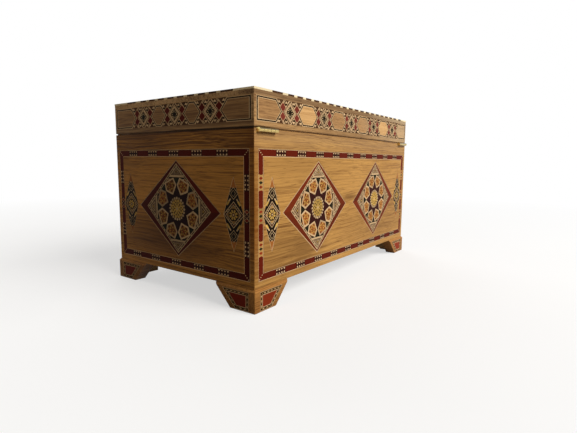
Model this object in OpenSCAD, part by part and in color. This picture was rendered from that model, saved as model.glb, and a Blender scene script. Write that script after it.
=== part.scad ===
// Inlaid walnut box with a hinged lid, bracket feet and a small box lock.
// Millimetres. +Z is up, the soles stand at z = 0, the lock side faces -Y
// and the hinges are on the +Y side.

/* [Body] */
// Outside length of the box
box_l = 240; // [200:1:320]
// Outside width of the box
box_w = 142; // [120:1:200]
// Height of the body from its bottom edge to the seam
body_h = 98; // [90:1:140]
// Thickness of the four body walls and the four lid rails
wall_t = 8; // [7:0.5:10]
// Thickness of the bottom board
base_t = 4; // [3:0.5:6]
// How far the bottom board runs into the walls
base_rabbet = 4; // [2:0.5:5]

/* [Lid] */
// Height of the lid rails under the lid board
rail_h = 19.2; // [18:0.2:40]
// Thickness of the lid board on the rails
board_t = 2.8; // [2:0.2:6]
// Thickness of the veneered field and its edge strips on the board
top_t = 1.6; // [1:0.1:3]
// Width of the mosaic edge strips round the top
edge_w = 14; // [8:1:24]
// Width of the bevel on the outer side of the edge strips
edge_bevel = 2.4; // [1:0.1:5]
// Height of the upright lip below that bevel
edge_lip = 0.4; // [0.2:0.1:0.8]

/* [Inlay] */
// Depth of the pockets and thickness of the inlay let into them
inlay_t = 1.2; // [0.8:0.1:1.6]
// Width of the dark frame inlay on each wall
border_w = 5; // [4:0.5:7]
// Plain wood between the frame inlay and the ends of a wall
border_inset = 3.7; // [3:0.1:6]
// Plain wood between the frame inlay and the bottom edge
border_rise = 4.3; // [3:0.1:8]
// Plain wood between the frame inlay and the seam
border_drop = 12; // [11:0.5:16]
// Gap between a large lozenge and the slim one beside it
lozenge_gap = 2.9; // [1:0.1:8]
// Gap between the two large lozenges of a long wall
lozenge_mid_gap = 11; // [4:0.5:30]
// Gap between a large lozenge and the frame inlay over and under it
lozenge_rise = 1.95; // [1:0.05:10]
// Gap between a slim lozenge and the frame inlay beside it
slim_gap = 0.4; // [0.3:0.1:3]
// Half the width of a slim lozenge
slim_x = 8; // [4:0.5:9]
// Half the height of a slim lozenge
slim_z = 23.6; // [10:0.2:30]
// Height of the mosaic band round the lid
band_h = 14.8; // [8:0.2:14.8]
// Plain wood under the mosaic band
band_rise = 4; // [2:0.2:4]
// Plain wood between the mosaic band and the ends of a rail
band_inset = 2; // [1.5:0.1:4]
// Half the length of the lozenge on top of the lid
top_lozenge_x = 62; // [30:1:70]
// Half the width of the lozenge on top of the lid
top_lozenge_y = 38; // [20:1:42]

/* [Feet] */
// Height of the feet
foot_h = 15; // [12:0.5:20]
// Length of a foot board along its wall at the top
foot_top = 33.5; // [28:0.5:40]
// Length of a foot board along its wall at the sole
foot_sole = 19.5; // [15:0.5:24]
// Thickness of the foot boards under the wall
foot_t = 8; // [7:0.5:9]
// How far the foot boards stand proud of the walls
foot_proud = 1.2; // [0.8:0.1:2]
// Height of the bevel on the top edge of the feet
foot_bevel = 1.4; // [0.8:0.1:1.8]
// Plain corner of a foot beside its inlay
foot_corner = 4; // [3:0.5:8]
// Plain top of a foot over its inlay
foot_head = 2; // [1.9:0.1:3]
// Plain margin under the inlay of a foot
foot_tread = 0.5; // [0.3:0.1:1]
// Plain margin beside the sloping side of a foot
foot_edge = 4.6; // [2:0.1:6]
// Side of the square glue block behind a foot
block_w = 12; // [8:0.5:14]
// Height of the glue block behind a foot
block_h = 11; // [6:0.5:11.5]

/* [Hinges] */
// Length of a hinge
hinge_l = 18; // [16:1:30]
// Gap between a hinge and the end of the box
hinge_inset = 2.2; // [1:0.1:20]
// Radius of the hinge knuckles
knuckle_r = 1.3; // [1.2:0.05:1.35]
// Radius of the hinge pin
pin_r = 0.55; // [0.4:0.05:0.7]
// Thickness of a hinge leaf
leaf_t = 0.8; // [0.6:0.05:0.95]
// Reach of a leaf from the pin into the wall
leaf_w = 7; // [6.5:0.1:8]
// Distance of the pin behind the back of the box
pin_out = 1.5; // [1.45:0.05:1.8]
// Distance of the pin below the seam
pin_drop = 1.15; // [1.05:0.05:1.3]
// Radius of the hinge screws' shanks
screw_r = 0.7; // [0.5:0.05:0.8]
// Radius of the hinge screws' heads
screw_head_r = 1.35; // [1.2:0.05:1.5]
// Length of the hinge screws
screw_l = 6; // [4:0.5:8]

/* [Lock] */
// Length of the lock case
lock_w = 34; // [32:1:50]
// Height of the lock case
lock_h = 15; // [14:0.5:20]
// Depth of the lock case
lock_t = 4.6; // [4.4:0.1:5]
// Thickness of the lock's plates
lock_plate = 0.8; // [0.6:0.1:0.9]
// Thickness of the sliding bolt
bolt_t = 1.2; // [0.8:0.1:1.3]
// Travel of the sliding bolt
bolt_travel = 4; // [3.5:0.1:4.5]
// Distance of the keyhole below the seam
keyhole_drop = 8; // [7.8:0.1:8.5]
// Radius of the keyhole's round part
keyhole_r = 1.4; // [1:0.1:1.6]
// Radius of the escutcheon
escutcheon_r = 3.9; // [3.5:0.1:4.2]
// Thickness of the escutcheon
escutcheon_t = 0.8; // [0.5:0.1:1]

/* [Lining] */
// Thickness of the velvet pad on the floor
floor_pad = 2; // [1:0.5:4]
// Thickness of the velvet on the walls
wall_pad = 1.2; // [0.8:0.1:2]
// Thickness of the velvet pad under the lid board
lid_pad = 2; // [1:0.5:4]
// Bare wood over the velvet at the rim
rim_bare = 1.5; // [1:0.5:4]

/* [Hidden] */
$fn = 48;
fit = 0.05;            // play of metal pieces in their seats
soft_gap = 0.3;        // air between a velvet pad and what it lies on
over = 1;              // overshoot of cutting shapes
z_body = foot_h;
z_seam = foot_h + body_h;
z_board = z_seam + rail_h;
z_top = z_board + board_t;
in_l = box_l - 2 * wall_t;
in_w = box_w - 2 * wall_t;
panel_low = border_rise + border_w;
panel_high = body_h - border_drop - border_w;
panel_mid = (panel_low + panel_high) / 2;
slim_from_end = border_inset + border_w + slim_gap + slim_x;
room_from_end = slim_from_end + slim_x + lozenge_gap;
end_lozenge_x = box_w / 2 - room_from_end;
long_lozenge_x = (box_l / 2 - room_from_end - lozenge_mid_gap / 2) / 2;
lozenge_z = (panel_high - panel_low) / 2 - lozenge_rise;
long_places = [for (s = [-1, 1]) s * (lozenge_mid_gap / 2 + long_lozenge_x)];
pin_y = box_w / 2 + pin_out;
pin_z = z_seam - pin_drop;
knuckles = 5;
knuckle_l = hinge_l / knuckles;
knuckle_gap = 0.1;
leaf_lip = 0.02;       // how far a leaf stands out of the wall
leaf_start = pin_out - leaf_lip;
screw_from_pin = (leaf_start + leaf_w) / 2;
screw_from_end = 5;    // along the hinge
screw_places = [-1, 1] * (hinge_l / 2 - screw_from_end);
screw_head_h = 0.6;
lock_y = wall_t - lock_t / 2;
slot_w = 1.4;          // the keyhole's slot under its round part
slot_l = 2.8;
key_play = 0.3;        // between the keyhole in the wall and the one in the brass
post_r = 0.7;          // the post that the key turns on
bit_r = 4.4;           // room for the key's bit
talon_r = 2.2;         // the notch in the bolt that the bit turns in
talon_gap = 0.2;
tack_r = 0.35;         // the escutcheon's pins
tack_l = 2;            // their length in the wall
tack_from_edge = 1.17;
tack_x = escutcheon_r - tack_from_edge;
staple_t = 1.2;
staple_play = 0.2;     // on both sides, between the lock's plates
staple_w = lock_t - 2 * lock_plate - 2 * staple_play;
staple_l = 4.3;
slot_play = 0.5;       // before and behind a staple in the lock's top
eye_low = 3.5;
eye_high = 1.7;
eye_side = 0.35;       // beside the bolt in a staple's eye
eye_play = 0.3;        // over and under a prong in the eye
eye_w = bolt_t + 2 * eye_side;
prong_h = eye_low - eye_high - 2 * eye_play;
riser_w = 2;
prong_gap = 0.6;       // from a prong's tip to its eye while unlocked
prong_l = bolt_travel + riser_w - prong_gap / 2;
bolt_back = staple_t / 2 + prong_gap + prong_l;
bolt_gap = 0.3;        // from the bolt's end to the lock's side plate
staple_x = [-1, 1] * (lock_w / 2 - lock_plate - bolt_gap - bolt_back);
bar_gap = 0.4;         // from a staple's end to the bolt
bar_top = staple_l + bar_gap;
bar_h = 2;
link_inset = 1;
link_w = lock_w - 2 * link_inset;
link_t = 1;

// ---- Places: each wall is drawn with its outer face on y = 0 and its inside
// ---- towards +y, then turned to its side of the box.
module at_front() { translate([0, -box_w / 2, 0]) children(); }
module at_back() { rotate([0, 0, 180]) translate([0, -box_w / 2, 0]) children(); }
module at_right() { rotate([0, 0, 90]) translate([0, -box_l / 2, 0]) children(); }
module at_left() { rotate([0, 0, -90]) translate([0, -box_l / 2, 0]) children(); }

// Stands a flat pattern (x along the wall, y up) into a face, depth deep.
module let_in(depth, proud = 0) {
  translate([0, depth, 0]) rotate([90, 0, 0]) linear_extrude(depth + proud) children();
}

// A board along x with both ends mitred, outer face on y = 0.
module mitred(len, t, h) {
  linear_extrude(h)
    polygon([[-len / 2, 0], [len / 2, 0], [len / 2 - t, t], [-len / 2 + t, t]]);
}

module lozenge(rx, ry) { polygon([[rx, 0], [0, ry], [-rx, 0], [0, -ry]]); }

// ---- Flat patterns on a wall of length len, measured from its bottom edge.
module frame_pattern(len) {
  difference() {
    translate([-len / 2 + border_inset, border_rise])
      square([len - 2 * border_inset, body_h - border_rise - border_drop]);
    translate([-len / 2 + border_inset + border_w, panel_low])
      square([len - 2 * (border_inset + border_w), panel_high - panel_low]);
  }
}

module lozenge_pattern(half_w, places) {
  for (x = places) translate([x, panel_mid]) lozenge(half_w, lozenge_z);
}

module slim_pattern(len) {
  for (s = [-1, 1])
    translate([s * (len / 2 - slim_from_end), panel_mid]) lozenge(slim_x, slim_z);
}

// ---- Body walls
module wall(len, half_w, places) {
  difference() {
    mitred(len, wall_t, body_h);
    translate([-len / 2, wall_t - base_rabbet, -over]) cube([len, wall_t, base_t + over]);
    let_in(inlay_t, over) {
      frame_pattern(len);
      lozenge_pattern(half_w, places);
      slim_pattern(len);
    }
  }
}

module keyhole(extra) {
  circle(r = keyhole_r + extra);
  translate([-slot_w / 2 - extra, -slot_l - extra]) square([slot_w + 2 * extra, slot_l]);
}

module front_wall() {
  color("#a9743c") difference() {
    translate([0, 0, z_body]) at_front() wall(box_l, long_lozenge_x, long_places);
    at_front() translate([-lock_w / 2 - fit, wall_t - lock_t - fit, z_seam - lock_h - fit])
      cube([lock_w + 2 * fit, lock_t + fit + over, lock_h + fit + over]);
    at_front() translate([0, 0, z_seam - keyhole_drop])
      let_in(wall_t - lock_t + over, over) keyhole(key_play);
    at_front() translate([0, 0, z_seam - keyhole_drop])
      for (s = [-1, 1]) translate([s * tack_x, 0, 0])
        let_in(tack_l + fit, over) circle(r = tack_r + fit);
  }
}

module back_wall() {
  color("#a9743c") difference() {
    translate([0, 0, z_body]) at_back() wall(box_l, long_lozenge_x, long_places);
    both_hinges() leaf_mortise();
  }
}

module right_wall() {
  color("#8a5a2c") difference() {
    translate([0, 0, z_body]) at_right() wall(box_w, end_lozenge_x, [0]);
    both_hinges() leaf_mortise();
  }
}

module left_wall() {
  color("#8a5a2c") difference() {
    translate([0, 0, z_body]) at_left() wall(box_w, end_lozenge_x, [0]);
    both_hinges() leaf_mortise();
  }
}

module bottom_board() {
  l = in_l + 2 * base_rabbet;
  w = in_w + 2 * base_rabbet;
  color("#c79a62") translate([-l / 2, -w / 2, z_body]) cube([l, w, base_t]);
}

// ---- Inlay of the walls
module frame_inlay(len) { translate([0, 0, z_body]) let_in(inlay_t) frame_pattern(len); }
module front_frame_inlay() { color("#5a1a12") at_front() frame_inlay(box_l); }
module back_frame_inlay() { color("#5a1a12") at_back() frame_inlay(box_l); }
module right_frame_inlay() { color("#5a1a12") at_right() frame_inlay(box_w); }
module left_frame_inlay() { color("#5a1a12") at_left() frame_inlay(box_w); }

module lozenges(half_w, places) {
  color("#8c3a22") translate([0, 0, z_body]) let_in(inlay_t) lozenge_pattern(half_w, places);
}
module front_lozenges() { at_front() lozenges(long_lozenge_x, long_places); }
module back_lozenges() { at_back() lozenges(long_lozenge_x, long_places); }
module right_lozenge() { at_right() lozenges(end_lozenge_x, [0]); }
module left_lozenge() { at_left() lozenges(end_lozenge_x, [0]); }

module slim_lozenges(len) { translate([0, 0, z_body]) let_in(inlay_t) slim_pattern(len); }
module front_slim_lozenges() { color("#d8c193") at_front() slim_lozenges(box_l); }
module back_slim_lozenges() { color("#d8c193") at_back() slim_lozenges(box_l); }
module right_slim_lozenges() { color("#d8c193") at_right() slim_lozenges(box_w); }
module left_slim_lozenges() { color("#d8c193") at_left() slim_lozenges(box_w); }

// ---- Feet: two mitred boards at each corner, drawn for a corner at the origin
// ---- with the box towards +x and +y, the outer face on y = 0 and the top at z = 0.
module foot_outline(corner, head, tread, edge) {
  slope = (foot_top - foot_sole) / foot_h;
  polygon([
    [corner, -head],
    [foot_top - slope * head - edge, -head],
    [foot_top - slope * (foot_h - tread) - edge, -foot_h + tread],
    [corner, -foot_h + tread]
  ]);
}

module foot_inlay_board() {
  translate([0, -foot_proud, 0]) let_in(inlay_t)
    foot_outline(foot_corner, foot_head, foot_tread, foot_edge);
}

module foot_board() {
  difference() {
    intersection() {
      translate([-foot_proud, 0, 0]) rotate([90, 0, 90]) linear_extrude(foot_top + foot_proud)
        polygon([
          [-foot_proud, -foot_h], [foot_t, -foot_h], [foot_t, 0],
          [0, 0], [-foot_proud, -foot_bevel]
        ]);
      translate([0, foot_t, 0]) rotate([90, 0, 0]) linear_extrude(foot_t + foot_proud)
        foot_outline(-foot_proud, 0, 0, 0);
      translate([0, 0, -foot_h]) linear_extrude(foot_h)
        polygon([
          [-foot_proud, -foot_proud], [foot_top, -foot_proud],
          [foot_top, foot_t], [foot_t, foot_t]
        ]);
    }
    translate([0, -foot_proud, 0]) let_in(inlay_t, over)
      foot_outline(foot_corner, foot_head, foot_tread, foot_edge);
  }
}

// The second board of a corner is the mirror image of the first over the mitre.
module both_boards() {
  children();
  mirror([1, -1, 0]) children();
}

module at_corner(sx, sy) {
  mirror([sx > 0 ? 1 : 0, 0, 0]) mirror([0, sy > 0 ? 1 : 0, 0])
    translate([-box_l / 2, -box_w / 2, z_body]) children();
}

module foot(sx, sy) { color("#b98447") at_corner(sx, sy) both_boards() foot_board(); }
module foot_front_right() { foot(1, -1); }
module foot_front_left() { foot(-1, -1); }
module foot_back_right() { foot(1, 1); }
module foot_back_left() { foot(-1, 1); }

module foot_inlay(sx, sy) {
  color("#8c3a22") at_corner(sx, sy) both_boards() foot_inlay_board();
}
module foot_inlay_front_right() { foot_inlay(1, -1); }
module foot_inlay_front_left() { foot_inlay(-1, -1); }
module foot_inlay_back_right() { foot_inlay(1, 1); }
module foot_inlay_back_left() { foot_inlay(-1, 1); }

module foot_glue_blocks() {
  color("#c79a62") for (sx = [-1, 1], sy = [-1, 1])
    at_corner(sx, sy) translate([foot_t, foot_t, -block_h]) cube([block_w, block_w, block_h]);
}

// ---- Velvet lining of the body
module floor_velvet() {
  l = in_l - 2 * soft_gap;
  w = in_w - 2 * soft_gap;
  color("#7a1420") translate([-l / 2, -w / 2, z_body + base_t + soft_gap])
    cube([l, w, floor_pad]);
}

module wall_velvet() {
  low = z_body + base_t + floor_pad + 2 * soft_gap;
  color("#7a1420") translate([0, 0, low])
    pads(z_seam - rim_bare - low);
}

// Four upright pads along the inside of the walls, the end pads between the long ones.
module pads(h) {
  end_w = in_w - 2 * (wall_pad + 2 * soft_gap);
  for (s = [-1, 1]) {
    translate([0, s * (in_w / 2 - soft_gap - wall_pad / 2), h / 2])
      cube([in_l - 2 * soft_gap, wall_pad, h], center = true);
    translate([s * (in_l / 2 - soft_gap - wall_pad / 2), 0, h / 2])
      cube([wall_pad, end_w, h], center = true);
  }
}

// ---- Hinges, drawn with the pin on the x axis and the wall towards -y.
module at_hinge(s) {
  translate([s * (box_l / 2 - hinge_inset - hinge_l / 2), pin_y, pin_z]) children();
}
module both_hinges() { for (s = [-1, 1]) at_hinge(s) children(); }

module leaf_mortise() {
  translate([-hinge_l / 2 - fit, -leaf_w - fit, -pin_drop - fit])
    cube([hinge_l + 2 * fit, leaf_w + fit, 2 * pin_drop + fit + over]);
  translate([0, 0, -leaf_low()]) screws(-1, fit);
}

function leaf_low() = pin_drop - leaf_t;

// Countersunk screws with their heads flush in a leaf; up is 1 or -1.
module screws(up, extra) {
  for (x = screw_places) translate([x, -screw_from_pin, 0])
    mirror([0, 0, up > 0 ? 0 : 1]) {
      cylinder(r1 = screw_head_r + extra, r2 = screw_r + extra, h = screw_head_h);
      cylinder(r = screw_r + extra, h = screw_l + extra);
    }
}

// One leaf with the knuckles whose number is in turns; up is 1 for the lid.
module leaf(turns, up) {
  difference() {
    union() {
      mirror([0, 0, up > 0 ? 0 : 1]) translate([-hinge_l / 2, -leaf_w, leaf_low()])
        cube([hinge_l, leaf_w - leaf_start, leaf_t]);
      for (i = turns) translate([(i - knuckles / 2) * knuckle_l + knuckle_gap, 0, 0]) {
        rotate([0, 90, 0]) cylinder(r = knuckle_r, h = knuckle_l - 2 * knuckle_gap);
        mirror([0, 0, up > 0 ? 0 : 1]) translate([0, -leaf_start - leaf_t, leaf_low()])
          cube([knuckle_l - 2 * knuckle_gap, leaf_start + leaf_t, leaf_t]);
      }
    }
    rotate([0, 90, 0]) cylinder(r = pin_r + fit, h = hinge_l + over, center = true);
    translate([0, 0, up * leaf_low()]) screws(up, fit);
  }
}

module body_leaf(s) { color("#c9a24a") at_hinge(s) leaf([0, 2, 4], -1); }
module lid_leaf(s) { color("#c9a24a") at_hinge(s) leaf([1, 3], 1); }
module hinge_pin(s) {
  color("#b08d3c") at_hinge(s) rotate([0, 90, 0]) cylinder(r = pin_r, h = hinge_l, center = true);
}
module hinge_right_body_leaf() { body_leaf(1); }
module hinge_left_body_leaf() { body_leaf(-1); }
module hinge_right_lid_leaf() { lid_leaf(1); }
module hinge_left_lid_leaf() { lid_leaf(-1); }
module hinge_right_pin() { hinge_pin(1); }
module hinge_left_pin() { hinge_pin(-1); }

module body_leaf_screws() {
  color("#b08d3c") both_hinges() translate([0, 0, -leaf_low()]) screws(-1, 0);
}
module lid_leaf_screws() {
  color("#b08d3c") both_hinges() translate([0, 0, leaf_low()]) screws(1, 0);
}

// ---- Box lock: the bolt slides along x through the eyes of the lid's link plate.
// ---- Drawn with the outer face of the wall on y = 0 and the seam at z = 0.
module at_lock() { at_front() translate([0, 0, z_seam]) children(); }

module lock_case() {
  inner_w = lock_w - 2 * lock_plate;
  inner_t = lock_t - 2 * lock_plate;
  ledge_top = bar_top + bar_h + fit;
  color("#b9933f") at_lock() difference() {
    translate([-lock_w / 2, wall_t - lock_t, -lock_h]) cube([lock_w, lock_t, lock_h]);
    // the space that the bolt slides in
    translate([-inner_w / 2, lock_y - inner_t / 2, -ledge_top])
      cube([inner_w, inner_t, ledge_top - lock_plate]);
    // the room round the key's bit, with its post left standing
    difference() {
      translate([0, lock_y + inner_t / 2, -keyhole_drop]) rotate([90, 0, 0])
        cylinder(r = bit_r, h = inner_t);
      translate([0, lock_y + inner_t / 2, -keyhole_drop]) rotate([90, 0, 0])
        cylinder(r = post_r, h = inner_t);
    }
    translate([0, wall_t - lock_t, -keyhole_drop]) let_in(lock_plate + over, over) keyhole(0);
    for (x = staple_x)
      translate([x - staple_t / 2 - slot_play, lock_y - inner_t / 2, -lock_plate - over])
        cube([staple_t + 2 * slot_play, inner_t, lock_plate + 2 * over]);
  }
}

module lock_bolt() {
  left = staple_x[0] - bolt_back;
  right = staple_x[1] + riser_w;
  color("#8f8f8c") at_lock() translate([0, lock_y - bolt_t / 2, 0]) difference() {
    union() {
      translate([left, 0, -bar_top - bar_h]) cube([right - left, bolt_t, bar_h]);
      for (x = staple_x) translate([x - bolt_back, 0, 0]) {
        translate([0, 0, -bar_top]) cube([riser_w, bolt_t, bar_top - eye_high - eye_play]);
        translate([0, 0, -eye_low + eye_play]) cube([prong_l, bolt_t, prong_h]);
      }
    }
    // the notch that the key's bit turns in
    translate([-talon_r, -over, -keyhole_drop - talon_r])
      cube([2 * talon_r, bolt_t + 2 * over, 2 * talon_r + talon_gap]);
  }
}

module lock_link_plate() {
  color("#c9a24a") at_lock() {
    translate([-link_w / 2, lock_y - staple_w / 2, 0]) cube([link_w, staple_w, link_t]);
    for (x = staple_x) difference() {
      translate([x - staple_t / 2, lock_y - staple_w / 2, -staple_l])
        cube([staple_t, staple_w, staple_l + link_t / 2]);
      translate([x - staple_t, lock_y - eye_w / 2, -eye_low])
        cube([2 * staple_t, eye_w, eye_low - eye_high]);
    }
  }
}

module escutcheon() {
  color("#c9a24a") at_lock() translate([0, -escutcheon_t, -keyhole_drop])
    let_in(escutcheon_t) difference() {
      circle(r = escutcheon_r);
      keyhole(0);
      for (s = [-1, 1]) translate([s * tack_x, 0]) circle(r = tack_r + fit);
    }
}

module escutcheon_pins() {
  color("#b08d3c") at_lock() translate([0, -escutcheon_t, -keyhole_drop])
    for (s = [-1, 1]) translate([s * tack_x, 0, 0])
      let_in(escutcheon_t + tack_l) circle(r = tack_r);
}

// ---- Lid
module band_pattern(len) {
  translate([-len / 2 + band_inset, band_rise]) square([len - 2 * band_inset, band_h]);
}

module rail(len) {
  translate([0, 0, z_seam]) difference() {
    mitred(len, wall_t, rail_h);
    let_in(inlay_t, over) band_pattern(len);
  }
}

module lid_front_rail() {
  color("#a9743c") difference() {
    at_front() rail(box_l);
    at_lock() translate([-link_w / 2 - fit, lock_y - staple_w / 2 - fit, -over])
      cube([link_w + 2 * fit, staple_w + 2 * fit, link_t + over + fit]);
  }
}

module lid_back_rail() {
  color("#a9743c") difference() {
    at_back() rail(box_l);
    both_hinges() translate([0, 0, leaf_low()]) screws(1, fit);
  }
}

module lid_right_rail() { color("#8a5a2c") at_right() rail(box_w); }
module lid_left_rail() { color("#8a5a2c") at_left() rail(box_w); }

module lid_board() {
  color("#a9743c") translate([-box_l / 2, -box_w / 2, z_board]) cube([box_l, box_w, board_t]);
}

module band_inlay(len) { translate([0, 0, z_seam]) let_in(inlay_t) band_pattern(len); }
module lid_front_band() { color("#d8c193") at_front() band_inlay(box_l); }
module lid_back_band() { color("#d8c193") at_back() band_inlay(box_l); }
module lid_right_band() { color("#d8c193") at_right() band_inlay(box_w); }
module lid_left_band() { color("#d8c193") at_left() band_inlay(box_w); }

// A bevelled mosaic strip on the board's edge, mitred at both ends.
module edge_strip(len) {
  translate([0, 0, z_top]) intersection() {
    mitred(len, edge_w, top_t);
    translate([-len / 2, 0, 0]) rotate([90, 0, 90]) linear_extrude(len)
      polygon([[0, 0], [edge_w, 0], [edge_w, top_t], [edge_bevel, top_t], [0, edge_lip]]);
  }
}
module lid_edge_front() { color("#d8c193") at_front() edge_strip(box_l); }
module lid_edge_back() { color("#d8c193") at_back() edge_strip(box_l); }
module lid_edge_right() { color("#d8c193") at_right() edge_strip(box_w); }
module lid_edge_left() { color("#d8c193") at_left() edge_strip(box_w); }

module lid_field() {
  l = box_l - 2 * edge_w;
  w = box_w - 2 * edge_w;
  color("#a9743c") translate([0, 0, z_top]) linear_extrude(top_t) difference() {
    square([l, w], center = true);
    lozenge(top_lozenge_x, top_lozenge_y);
  }
}

module lid_top_lozenge() {
  color("#8c3a22") translate([0, 0, z_top]) linear_extrude(top_t)
    lozenge(top_lozenge_x, top_lozenge_y);
}

module lid_velvet() {
  l = in_l - 2 * soft_gap;
  w = in_w - 2 * soft_gap;
  color("#7a1420") translate([-l / 2, -w / 2, z_board - soft_gap - lid_pad])
    cube([l, w, lid_pad]);
}

module lid_rail_velvet() {
  color("#7a1420") translate([0, 0, z_seam + rim_bare])
    pads(rail_h - rim_bare - lid_pad - 2 * soft_gap);
}

front_wall();
back_wall();
right_wall();
left_wall();
bottom_board();
front_frame_inlay();
back_frame_inlay();
right_frame_inlay();
left_frame_inlay();
front_lozenges();
back_lozenges();
right_lozenge();
left_lozenge();
front_slim_lozenges();
back_slim_lozenges();
right_slim_lozenges();
left_slim_lozenges();
foot_front_right();
foot_front_left();
foot_back_right();
foot_back_left();
foot_inlay_front_right();
foot_inlay_front_left();
foot_inlay_back_right();
foot_inlay_back_left();
foot_glue_blocks();
floor_velvet();
wall_velvet();
hinge_right_body_leaf();
hinge_left_body_leaf();
hinge_right_pin();
hinge_left_pin();
body_leaf_screws();
lock_case();
escutcheon();
escutcheon_pins();
lock_bolt();
lid_front_rail();
lid_back_rail();
lid_right_rail();
lid_left_rail();
lid_board();
lid_front_band();
lid_back_band();
lid_right_band();
lid_left_band();
lid_edge_front();
lid_edge_back();
lid_edge_right();
lid_edge_left();
lid_field();
lid_top_lozenge();
lid_velvet();
lid_rail_velvet();
hinge_right_lid_leaf();
hinge_left_lid_leaf();
lid_leaf_screws();
lock_link_plate();
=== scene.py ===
import math
import random

import bmesh
import bpy
from mathutils import Matrix, Vector


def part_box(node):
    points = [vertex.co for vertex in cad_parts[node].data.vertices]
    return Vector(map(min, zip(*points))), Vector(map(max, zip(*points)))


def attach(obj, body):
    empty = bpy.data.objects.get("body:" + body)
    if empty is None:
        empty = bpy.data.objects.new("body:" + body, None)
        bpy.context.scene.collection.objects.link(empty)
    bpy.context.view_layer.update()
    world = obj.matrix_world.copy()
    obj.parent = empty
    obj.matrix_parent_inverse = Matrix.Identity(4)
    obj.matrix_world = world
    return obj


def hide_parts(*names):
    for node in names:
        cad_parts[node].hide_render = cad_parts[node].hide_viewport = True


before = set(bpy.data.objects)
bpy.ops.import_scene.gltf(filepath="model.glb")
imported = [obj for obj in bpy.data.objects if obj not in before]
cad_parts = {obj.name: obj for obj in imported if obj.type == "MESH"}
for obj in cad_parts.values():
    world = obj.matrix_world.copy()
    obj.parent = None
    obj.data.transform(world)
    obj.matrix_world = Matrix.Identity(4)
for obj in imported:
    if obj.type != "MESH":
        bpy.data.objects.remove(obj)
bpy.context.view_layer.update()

# ---- Camera. The box is seen close up from its back right corner, a little from
# above, so that corner stands near and the two walls fall away on both sides.
def placed(name, data):
    """A new object of that data, in the scene."""
    made = bpy.data.objects.new(name, data)
    bpy.context.collection.objects.link(made)
    return made


case_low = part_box("right_wall")[0].z
case_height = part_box("lid_board")[1].z - case_low
case_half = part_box("back_wall")[1].to_2d().to_3d()
near_corner = case_half + Vector((0, 0, case_low))
STAND = Vector((1.5525, 1.3411, 0.6504))     # from that corner, in heights of the case
LOOKING = Vector((-0.80133, -0.58387, -0.13028))
TILT = math.radians(0.4425)
camera_data = bpy.data.cameras.new("camera")
camera_data.lens = 25.87
camera_data.sensor_width = 36.0
camera_data.clip_start = 0.01
camera = placed("camera", camera_data)
turn = LOOKING.to_track_quat("-Z", "Y").to_matrix() @ Matrix.Rotation(TILT, 3, "Z")
camera.matrix_world = Matrix.Translation(near_corner + STAND * case_height) @ turn.to_4x4()
bpy.context.scene.camera = camera
bpy.context.scene.view_settings.view_transform = "Standard"


# ---- Light and floor. A broad soft lamp stands behind the box, a weak one before it;
# the pale room and the paper floor are white to the eye and in gloss, not as lamps.
class Value:
    """One socket of a finish; arithmetic on it adds Math nodes."""

    def __init__(self, finish, link):
        self.finish = finish
        self.link = link

    def math(self, operation, *others, clamp=False):
        settings = {"operation": operation, "use_clamp": clamp}
        return self.finish.add("ShaderNodeMath", settings, dict(enumerate((self, *others))))

    def __add__(self, other):
        return self.math("ADD", other)

    def __sub__(self, other):
        return self.math("SUBTRACT", other)

    def __rsub__(self, other):
        return self * -1.0 + other

    def __mul__(self, other):
        return self.math("MULTIPLY", other)

    __radd__ = __add__
    __rmul__ = __mul__

    def above(self, edge, soft):
        """0 below edge, 1 above edge + soft."""
        return (self - edge).math("DIVIDE", soft).math("ADD", 0.0, clamp=True)


class Finish:
    """One material; every node that isn't arithmetic comes from add."""

    def __init__(self, name, tree=None):
        if tree is None:
            self.material = bpy.data.materials.new(name)
            self.material.use_nodes = True
            tree = self.material.node_tree
        self.tree = tree

    def plug(self, socket, value):
        if isinstance(value, Value):
            self.tree.links.new(value.link, socket)
        else:
            socket.default_value = (*value, 1.0) if socket.type == "RGBA" else value

    def add(self, kind, settings, sockets, out=0):
        node = self.tree.nodes.new(kind)
        for name, value in settings.items():
            if name == "stops":
                ramp = node.color_ramp.elements
                while len(ramp) < len(value):
                    ramp.new(0.5)
                for element, (place, colour) in zip(ramp, value):
                    element.position = place
                    element.color = (*colour, 1.0)
            else:
                setattr(node, name, value)
        for key, value in sockets.items():
            self.plug(node.inputs[key], value)
        return Value(self, node.outputs[out])

    def place(self):
        return self.add("ShaderNodeTexCoord", {}, {}, "Object")

    def vector(self, operation, *terms, out=0):
        settings = {"operation": operation}
        return self.add("ShaderNodeVectorMath", settings, dict(enumerate(terms)), out)

    def noise(self, place, factors, detail=2.0, rough=0.5, out="Fac"):
        """Noise at the place, whose axes are multiplied by the factors."""
        sockets = {"Vector": self.vector("MULTIPLY", place, factors), "Scale": 1.0,
                   "Detail": detail, "Roughness": rough}
        return self.add("ShaderNodeTexNoise", {}, sockets, out)

    def mix(self, factor, first, second):
        sockets = {0: factor, 6: first, 7: second}
        return self.add("ShaderNodeMix", {"data_type": "RGBA"}, sockets, 2)

    def bump(self, height, depth, strength):
        sockets = {"Height": height, "Distance": depth, "Strength": strength}
        return self.add("ShaderNodeBump", {}, sockets, "Normal")

    def shade(self, **sockets):
        """Sets or links sockets of the surface shader, named with _ for a blank."""
        shader = self.tree.nodes["Principled BSDF"]
        for name, value in sockets.items():
            self.plug(shader.inputs[name.replace("_", " ")], value)
        return self.material


def seen(finish):
    """1 where a ray shows the background to the eye, directly or in gloss or glass."""
    kinds = [finish.add("ShaderNodeLightPath", {}, {}, f"Is {kind} Ray")
             for kind in ("Camera", "Glossy", "Transmission")]
    return kinds[0].math("MAXIMUM", kinds[1]).math("MAXIMUM", kinds[2])


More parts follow.
